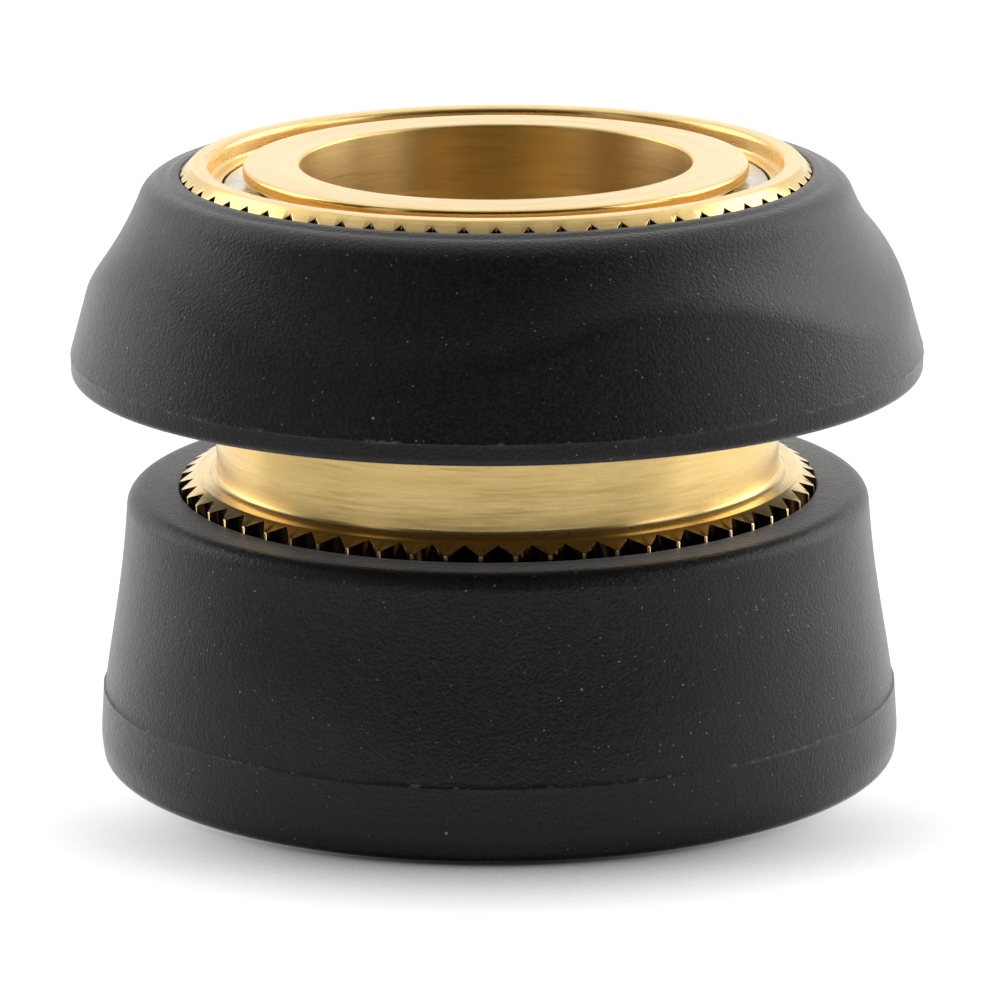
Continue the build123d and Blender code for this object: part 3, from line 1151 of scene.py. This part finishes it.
@dataclass
class Grip:
    """One moulded rubber grip."""

    piece: Piece
    finish: Rubber
    form: GripForm
    foot_z: float
    top_z: float
    lip_r: float
    lip_z: float
    bore_r: float
    foot_r: float
    belly_r: float
    belly_z: float
    foot_corner: float
    corner: float
    top_slope: float = 0.0
    line_step: float = 0.06
    rows: int = 84
    steps: int = 360
    still: float = 0.4
    moving_edge: float = 0.1
    flash: float = 0.05
    flash_half: float = 0.09

    def outline(self) -> Outline:
        """Outline of the grip before its side is hollowed."""
        form = self.form
        rim_r = form.flare_r(self.top_z)
        rim_z = self.top_z - self.top_slope * (rim_r - self.bore_r)
        corners = [
            (self.lip_r, self.foot_z, 0.2),
            (self.foot_r, self.foot_z, self.foot_corner, 4),
            (self.belly_r, self.belly_z, 0.3, 10),
            (self.foot_r, form.line_z - self.line_step, self.line_step / 2, 2),
            (form.line_r, form.line_z, self.line_step / 3, self.rows),
            (rim_r, rim_z, self.corner, 6),
            (self.bore_r, self.top_z, 0.12, 6),
            (self.bore_r, self.lip_z, 0.1),
            (self.lip_r, self.lip_z, 0.1),
        ]
        if self.belly_r == self.foot_r:
            del corners[2]
        return Outline.through(*corners, arc_segments=GRIP_ARC)

    def hollow(self, mesh: BMesh) -> None:
        """Moves the side in to the scalloped form, and the top's outer part with it.

        Args:
            mesh: The spun grip.
        """
        form = self.form
        fixed_r = self.bore_r + self.still
        moving_r = form.flare_r(self.top_z) - self.corner - self.moving_edge
        for vert in mesh.verts:
            radius, z = vert.co.xy.length / MM, vert.co.z / MM
            if z < form.line_z or radius < fixed_r:
                continue
            angle = atan2(vert.co.y, vert.co.x)
            share = min(1.0, (radius - fixed_r) / (moving_r - fixed_r))
            moved = form.flare_r(z) - form.radius(angle, z)
            vert.co.xy *= (radius - share * moved) / radius

    def tear(self, mesh: BMesh) -> None:
        """Raises torn bits of flash along the parting line.

        Args:
            mesh: The hollowed grip.
        """
        form = self.form
        for vert in mesh.verts:
            radius, z = vert.co.xy.length / MM, vert.co.z / MM
            near = 1 - abs(z - form.line_z + self.line_step / 2) / self.flash_half
            if near <= 0 or radius < self.bore_r + 1:
                continue
            spot = Vector(vert.co) / MM
            ragged = noise.noise(spot * 0.9) + 0.5 * noise.noise(spot * 2.3)
            vert.co.xy *= 1 + self.flash * near * max(0.0, 0.35 + ragged) / radius

    def build(self, shelf: Shelf) -> None:
        """Models and places the grip."""
        mesh = bmesh.new()
        self.outline().spin(mesh, self.steps)
        self.hollow(mesh)
        self.tear(mesh)
        grip = self.piece.place(mesh, self.finish.make(shelf))
        flatten_faces(grip)


def lower_grip() -> Grip:
    """The grip round the hose end."""
    return Grip(
        piece=Piece("lower_grip", Body.BASE.value, Slot.GRIP, ("base_grip",)),
        finish=Rubber("rubber_lower_grip", line_z=3.7),
        form=GripForm(19.4, 3.7, 18.2, 12.7, 0.15, 0.06, 0.44, 0.18, 48.0, 0.34),
        foot_z=0.0, top_z=13.5, lip_r=14.92, lip_z=1.98, bore_r=15.58, foot_r=19.5,
        belly_r=19.65, belly_z=1.3, foot_corner=0.45, corner=0.75,
    )


def upper_grip() -> Grip:
    """The grip round the release sleeve."""
    return Grip(
        piece=Piece("upper_grip", Body.SLEEVE.value, Slot.GRIP, ("sleeve_grip",)),
        finish=Rubber("rubber_upper_grip", line_z=20.395),
        form=GripForm(20.75, 20.395, 17.078, 28.78, 1.4, 0.32, 0.48, 0.17, 27.5, 0.42),
        foot_z=19.295, top_z=29.08, lip_r=14.18, lip_z=19.775, bore_r=15.32, foot_r=20.75,
        belly_r=20.75, belly_z=20.0, foot_corner=0.35, corner=0.8, top_slope=0.08,
    )


# ---- steel and seals


@dataclass
class Internals:
    """Split ring, lock balls, return spring, O-ring and hose washer."""

    ring_steel: Steel = Steel("steel_ring", rough=0.3)
    ball_steel: Steel = Steel(
        "steel_balls", colour=(0.66, 0.66, 0.65), rough=0.12, marks_per_mm=2.0
    )
    wire_steel: Steel = Steel("steel_wire", colour=(0.5, 0.5, 0.49), rough=0.3)
    seal: Rubber = Rubber(
        "rubber_seals", colour=(0.012, 0.012, 0.012), rough=0.42, wave_depth=0.01
    )
    ring_inner_r: float = 11.35
    ring_outer_r: float = 13.1906
    ring_foot_z: float = 27.6
    ring_top_z: float = 28.5
    ring_gap: float = 3.0
    ring_gap_at: float = 90.0
    ball_r: float = 1.5875
    ball_rest_r: float = 10.1875
    ball_z: float = 24.6
    balls: int = 6
    wire_r: float = 0.425
    coil_r: float = 12.375
    coil_foot_z: float = 15.5
    coil_top_z: float = 22.9954
    travel: float = 3.0
    closed_turns: float = 0.6
    open_turns: float = 3.05
    turn_steps: int = 96
    seal_r: float = 9.13
    seal_z: float = 16.4
    seal_wire_r: float = 1.0
    washer_bore_r: float = 8.0
    washer_r: float = 13.5
    washer_foot_z: float = 7.7
    washer_top_z: float = 10.7
    washer_dish: float = 0.25

    def build(self, shelf: Shelf) -> None:
        """Models and places all of them."""
        self.split_ring(shelf)
        self.lock_balls(shelf)
        self.spring(shelf)
        seal_rubber = self.seal.make(shelf)
        self.o_ring(seal_rubber)
        self.washer(seal_rubber)

    def split_ring(self, shelf: Shelf) -> None:
        """The flat ring that stops the sleeve, open at the back."""
        mesh = bmesh.new()
        gap = self.ring_gap / self.ring_inner_r
        inner, outer = self.ring_inner_r, self.ring_outer_r
        foot, top = self.ring_foot_z, self.ring_top_z
        section = Outline.through(
            (inner, foot, 0.06), (outer, foot, 0.1), (outer, top, 0.1), (inner, top, 0.06)
        )
        section.spin(mesh, 180, tau - gap)
        cap_ends(mesh)
        turned = Matrix.Rotation(radians(self.ring_gap_at) + gap / 2, 4, "Z")
        bmesh.ops.transform(mesh, matrix=turned, verts=mesh.verts[:])
        piece = Piece("split_ring", Body.RING.value, Slot.STEEL, ("snap_ring",))
        break_edges(piece.place(mesh, self.ring_steel.make(shelf)), 0.03)

    def lock_balls(self, shelf: Shelf) -> None:
        """The balls that hold the plug."""
        steel = self.ball_steel.make(shelf)
        rest_r, radius = self.ball_rest_r * MM, self.ball_r * MM
        for k in range(self.balls):
            mesh = bmesh.new()
            angle = tau * k / self.balls
            centre = (rest_r * cos(angle), rest_r * sin(angle), self.ball_z * MM)
            place = Matrix.Translation(centre)
            bmesh.ops.create_uvsphere(
                mesh, u_segments=40, v_segments=20, radius=radius, matrix=place
            )
            ball = f"ball_{k + 1}"
            Piece(f"steel_{ball}", ball, Slot.STEEL, (f"lock_{ball}",)).place(mesh, steel)

    def spring(self, shelf: Shelf) -> None:
        """The return spring, with closed ends."""
        mesh = bmesh.new()
        ring_wire(mesh, self.coil_r, self.coil_foot_z + self.wire_r, self.wire_r, 14)
        rise = self.coil_top_z - self.coil_foot_z - 2 * self.wire_r
        last = everything(mesh)
        closed = (self.closed_turns, 0.0)
        for turns, climb in (closed, (self.open_turns, rise), closed):
            last = sweep(mesh, last, tau * turns, int(turns * self.turn_steps), rise=climb)
        cap_ends(mesh)
        piece = Piece("coil_spring", Body.BASE.value, Slot.STEEL, ("return_spring",))
        obj = piece.place(mesh, self.wire_steel.make(shelf))
        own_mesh(obj)

    def o_ring(self, rubber: Material) -> None:
        """The ring that seals on the plug's nose."""
        mesh = bmesh.new()
        ring_wire(mesh, self.seal_r, self.seal_z, self.seal_wire_r, 24)
        sweep(mesh, everything(mesh), tau, 160, closed=True)
        Piece("nose_seal", Body.BASE.value, Slot.SEAL, ("socket_o_ring",)).place(mesh, rubber)

    def washer(self, rubber: Material) -> None:
        """The flat washer that seals on the hose's end."""
        mesh = bmesh.new()
        inner, outer = self.washer_bore_r, self.washer_r
        foot, top = self.washer_foot_z, self.washer_top_z
        dish = foot + self.washer_dish
        section = Outline.through(
            (inner, foot, 0.2),
            (inner + 1.2, foot, 0.1),
            (inner + 1.6, dish, 0.1),
            (outer - 1.2, dish, 0.1),
            (outer - 0.8, foot, 0.1),
            (outer, foot, 0.2),
            (outer, top, 0.2),
            (inner, top, 0.2),
        )
        section.spin(mesh, 160)
        piece = Piece("hose_seal", Body.BASE.value, Slot.SEAL, ("hose_washer",))
        flatten_faces(piece.place(mesh, rubber))


# ---- studio


@dataclass(frozen=True)
class Softbox:
    """Large soft light. Its place and size are in metres, and radiance is its brightness."""

    name: str
    place: tuple[float, float, float]
    size: Pair
    radiance: float

    def hang(self) -> None:
        """Adds the light, facing the connector."""
        light = bpy.data.lights.new(self.name, "AREA")
        light.shape = "RECTANGLE"
        light.size, light.size_y = self.size
        light.energy = self.radiance * pi * self.size[0] * self.size[1]
        obj = add_object(self.name, light)
        obj.location = self.place
        aim = Vector((0, 0, AIM_Z)) - obj.location
        obj.rotation_euler = aim.to_track_quat("-Z", "Y").to_euler()


@dataclass
class Studio:
    """White sweep, soft lights and the camera of the photograph. Sizes are in metres."""

    floor_half: float = 3.0
    floor_colour: Colour = (0.12, 0.12, 0.12)
    floor_glow: float = 1.1
    far_glow: float = 0.68
    sheet_slant: float = 0.313
    sheet_edge: float = -0.005
    sheet_blur: float = 0.006
    strip_x: Pair = (0.028, 0.034)
    strip_y: Pair = (-0.048, -0.041)
    shadow_reach: float = 0.012
    shadow_from: float = 0.97
    shadow_span: float = 0.42
    shadow_y: Pair = (-0.020, -0.006)
    shadow_behind: float = 0.1
    footprint: Pair = (0.0185, 0.0192)
    front_level: float = 0.02
    back_level: float = 0.97
    horizon: Pair = (-0.35, 0.45)
    camera_place: tuple[float, float, float] = (0.0001, -0.2864, 0.0849)
    camera_down: float = 14.177
    camera_roll: float = 0.35
    lens: float = 216.7
    softboxes: tuple[Softbox, ...] = (
        Softbox("overhead", (0.0, 0.1, 0.8), (1.2, 1.2), 0.28),
        Softbox("left_strip", (-0.635, -0.487, 0.36), (0.24, 0.7), 0.6),
        Softbox("left_panel", (-0.72, 0.35, 0.36), (0.6, 0.7), 1.3),
        Softbox("right_side", (0.78, -0.27, 0.36), (0.42, 0.7), 1.6),
        Softbox("right_panel", (0.72, 0.35, 0.36), (0.6, 0.7), 2.2),
        Softbox("back_panel", (0.0, 0.8, 0.26), (0.6, 0.5), 0.22),
    )

    def glow(self, graph: Graph) -> Socket:
        """Glow of the floor, with a painted shadow of the connector in front and underneath.

        It is full on a slanted sheet and on a strip in front, and lower elsewhere.

        Args:
            graph: The floor material's tree.

        Returns:
            The glow's strength.
        """
        _, x, y, _ = graph.place()
        # Painted shadow: occlusion, kept to the front and to the footprint, takes away the glow.
        nook = graph.add("ShaderNodeAmbientOcclusion", samples=8)
        nook.inputs["Distance"].default_value = self.shadow_reach
        closed = graph.math("SUBTRACT", self.shadow_from, nook.outputs["AO"])
        closed = graph.math("DIVIDE", closed, self.shadow_span, clamp=True)
        front = graph.fade(y, *self.shadow_y, 1.0, self.shadow_behind)
        under = graph.fade(graph.radius(x, y), *self.footprint, 1.0, 0.0)
        shadow = graph.math("MAXIMUM", graph.math("MULTIPLY", closed, front), under)
        slant = graph.math("ADD", y, graph.math("MULTIPLY", x, self.sheet_slant))
        edge, blur = self.sheet_edge, self.sheet_blur
        sheet = graph.fade(slant, edge - blur, edge + blur)
        strip = graph.fade(graph.math("ABSOLUTE", x), *self.strip_x, 1.0, 0.0)
        strip = graph.math("MULTIPLY", strip, graph.fade(y, *self.strip_y))
        lit = graph.math("MAXIMUM", sheet, strip)
        full = graph.fade(lit, 0.0, 1.0, self.far_glow, self.floor_glow)
        return graph.math("MULTIPLY", full, graph.math("SUBTRACT", 1.0, shadow))

    def floor(self) -> None:
        """Lays the pale floor."""
        mesh = bmesh.new()
        bmesh.ops.create_grid(mesh, x_segments=2, y_segments=2, size=self.floor_half)
        finish = Finish("pale_floor")
        finish.set(
            Base_Color=self.floor_colour,
            Roughness=0.9,
            Specular_IOR_Level=0.1,
            Emission_Color=(1.0, 1.0, 1.0),
            Emission_Strength=self.glow(finish.graph),
        )
        obj = add_object("floor", to_data(mesh, "floor"))
        obj.data.materials.append(finish.material)

    def surroundings(self) -> None:
        """Lights the room: bright behind the connector, dim on the camera's side."""
        world = bpy.data.worlds.new("studio")
        world.use_nodes = True
        bpy.context.scene.world = world
        graph = Graph(world.node_tree)
        parts = graph.add("ShaderNodeSeparateXYZ")
        graph.feed(parts.inputs[0], graph.add("ShaderNodeTexCoord").outputs["Generated"])
        level = graph.fade(parts.outputs[1], *self.horizon, self.front_level, self.back_level)
        background = world.node_tree.nodes["Background"]
        background.inputs["Color"].default_value = (1.0, 1.0, 1.0, 1.0)
        graph.feed(background.inputs["Strength"], level)

    def camera(self) -> None:
        """Sets the camera where the photograph was taken from."""
        data = bpy.data.cameras.new("camera")
        data.lens = self.lens
        data.sensor_width = 36.0
        data.clip_start = 0.01
        obj = add_object("camera", data)
        tilt = Euler((pi / 2 - radians(self.camera_down), 0, 0)).to_matrix().to_4x4()
        roll = Matrix.Rotation(-radians(self.camera_roll), 4, "Z")
        obj.matrix_world = Matrix.Translation(self.camera_place) @ tilt @ roll
        bpy.context.scene.camera = obj

    def build(self) -> None:
        """Sets up the whole studio."""
        self.camera()
        self.floor()
        self.surroundings()
        for softbox in self.softboxes:
            softbox.hang()
        bpy.context.scene.view_settings.view_transform = "Standard"


def main() -> None:
    """Builds the studio and the connector, from the camera to the last seal."""
    logging.basicConfig(level=logging.INFO)
    Studio().build()
    shelf = Shelf(TurningLines(), Grooves(), Grain(), Dust())
    for part in (LowerBody(), PlugTube(), Sleeve(), lower_grip(), upper_grip(), Internals()):
        part.build(shelf)


if __name__ == "__main__":
    main()
